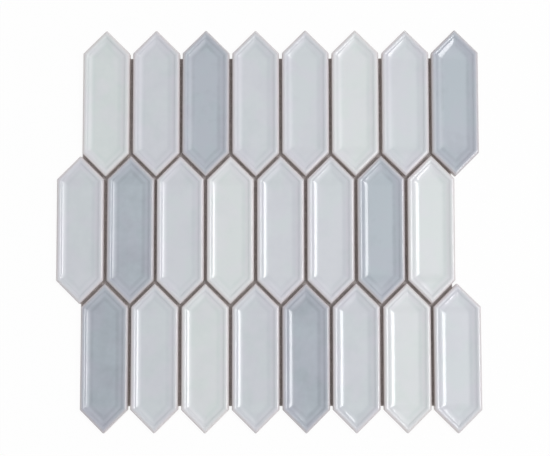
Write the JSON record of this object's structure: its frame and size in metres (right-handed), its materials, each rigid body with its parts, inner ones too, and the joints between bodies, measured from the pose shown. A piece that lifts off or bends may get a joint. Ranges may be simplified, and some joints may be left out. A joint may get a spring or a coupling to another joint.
{
  "type": "picket mosaic tile sheet",
  "caption": "Mesh-mounted sheet of long hexagonal picket tiles in three staggered rows, glazed in white, pale grey and slate, each with a raised rounded rim and a dished face.",
  "frame": {"origin": "under the middle of the sheet, on the back face of the mesh backing", "axes": "+X across the pickets, +Y along the pickets towards the top of the pictured sheet, +Z out of the glazed face"},
  "size_m": [0.3099, 0.2959, 0.008],
  "materials": {
    "glaze_white": "gloss white glaze with a faint green cast",
    "glaze_mist": "gloss pale grey glaze",
    "glaze_slate": "gloss blue-grey glaze",
    "backing": "glass-fibre mesh in a film of taupe adhesive"
  },
  "bodies": {
    "root": {"tile_r1_c1": "glaze_white", "tile_r1_c2": "glaze_mist", "tile_r1_c3": "glaze_slate", "tile_r1_c4": "glaze_mist", "tile_r1_c5": "glaze_mist", "tile_r1_c6": "glaze_white", "tile_r1_c7": "glaze_mist", "tile_r1_c8": "glaze_slate", "tile_r2_c1": "glaze_mist", "tile_r2_c2": "glaze_slate", "tile_r2_c3": "glaze_mist", "tile_r2_c4": "glaze_white", "tile_r2_c5": "glaze_mist", "tile_r2_c6": "glaze_mist", "tile_r2_c7": "glaze_slate", "tile_r2_c8": "glaze_white", "tile_r3_c1": "glaze_slate", "tile_r3_c2": "glaze_mist", "tile_r3_c3": "glaze_white", "tile_r3_c4": "glaze_mist", "tile_r3_c5": "glaze_slate", "tile_r3_c6": "glaze_mist", "tile_r3_c7": "glaze_white", "tile_r3_c8": "glaze_mist", "mesh_backing": "backing"}
  },
  "joints": []
}
